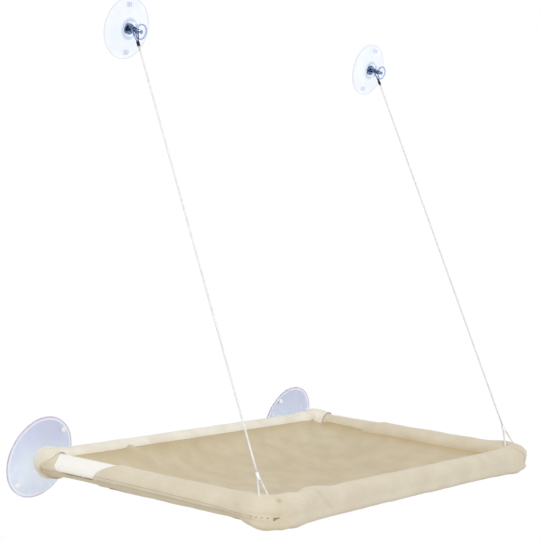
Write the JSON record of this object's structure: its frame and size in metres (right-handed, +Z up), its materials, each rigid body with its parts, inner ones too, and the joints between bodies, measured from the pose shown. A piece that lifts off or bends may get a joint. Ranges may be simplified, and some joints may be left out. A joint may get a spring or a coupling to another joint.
{
  "type": "window mounted cat perch",
  "caption": "Shelf bed of cloth on a tube frame that hangs on a window by suction cups, with cables that hold up its front corners and a frame that folds up to the glass.",
  "frame": {"origin": "on the window glass, midway between the axes of the lower suction cups", "axes": "+Y into the glass, +Z up along the glass, +X to the right as seen from the room; the bed reaches towards -Y"},
  "size_m": [0.608, 0.3835, 0.617],
  "materials": {
    "clear_upper_cup": "clear soft vinyl, slightly blue",
    "frosted_lower_cup": "frosted lavender-blue soft vinyl",
    "clear_disc": "clear hard plastic",
    "dark_metal": "dark blackened steel",
    "dark_crimp": "near-black crimped sleeve",
    "white_cable": "white coated steel cable",
    "white_crimp": "white crimped sleeve",
    "white_clip": "moulded white plastic",
    "brass_insert": "threaded brass",
    "white_tube": "white pipe",
    "tube_elbow": "white moulded elbow",
    "beige_cloth": "light beige woven cloth, sewn",
    "beige_sling": "light beige woven cloth in one layer",
    "fuzzy_tape": "off-white fuzzy hook-and-loop tape"
  },
  "bodies": {
    "window_side": {"upper_cup_left": "clear_upper_cup", "upper_cup_right": "clear_upper_cup", "lower_cup_left": "frosted_lower_cup", "lower_cup_right": "frosted_lower_cup", "upper_stud_left": "dark_metal", "upper_stud_right": "dark_metal", "lower_stud_left": "dark_metal", "lower_stud_right": "dark_metal", "cable_eye_left": "dark_metal", "cable_eye_right": "dark_metal", "upper_ferrule_left": "dark_crimp", "upper_ferrule_right": "dark_crimp", "cable_left": "white_cable", "cable_right": "white_cable", "tube_clip_left": "white_clip", "tube_clip_right": "white_clip", "clip_insert_left": "brass_insert", "clip_insert_right": "brass_insert"},
    "bed": {"lower_ferrule_left": "white_crimp", "lower_ferrule_right": "white_crimp", "cable_loop_left": "white_cable", "cable_loop_right": "white_cable", "tube_rear": "white_tube", "tube_front": "white_tube", "tube_left": "white_tube", "tube_right": "white_tube", "elbow_rear_left": "tube_elbow", "elbow_rear_right": "tube_elbow", "elbow_front_left": "tube_elbow", "elbow_front_right": "tube_elbow", "sling": "beige_sling", "sleeve_rear": "beige_cloth", "sleeve_front": "beige_cloth", "sleeve_left": "beige_cloth", "sleeve_right": "beige_cloth", "pocket_rear_left": "beige_cloth", "pocket_rear_right": "beige_cloth", "pocket_front_left": "beige_cloth", "pocket_front_right": "beige_cloth", "tape_left": "fuzzy_tape", "tape_right": "fuzzy_tape"},
    "disc_left": {"clamp_disc_left": "clear_disc"},
    "disc_right": {"clamp_disc_right": "clear_disc"}
  },
  "joints": [
    {"name": "bed_fold", "type": "hinge", "parent": "window_side", "child": "bed", "pos_m": [0, -0.029, 0.008], "axis": [-1, 0, 0], "range_deg": [0, 75], "deforming": ["cable_left", "cable_right"]},
    {"name": "disc_turn_left", "type": "hinge", "parent": "window_side", "child": "disc_left", "pos_m": [-0.252, -0.0235, 0.529], "axis": [0, -1, 0], "range_deg": [0, 360]},
    {"name": "disc_turn_right", "type": "hinge", "parent": "window_side", "child": "disc_right", "pos_m": [0.252, -0.0235, 0.529], "axis": [0, -1, 0], "range_deg": [0, 360]}
  ]
}
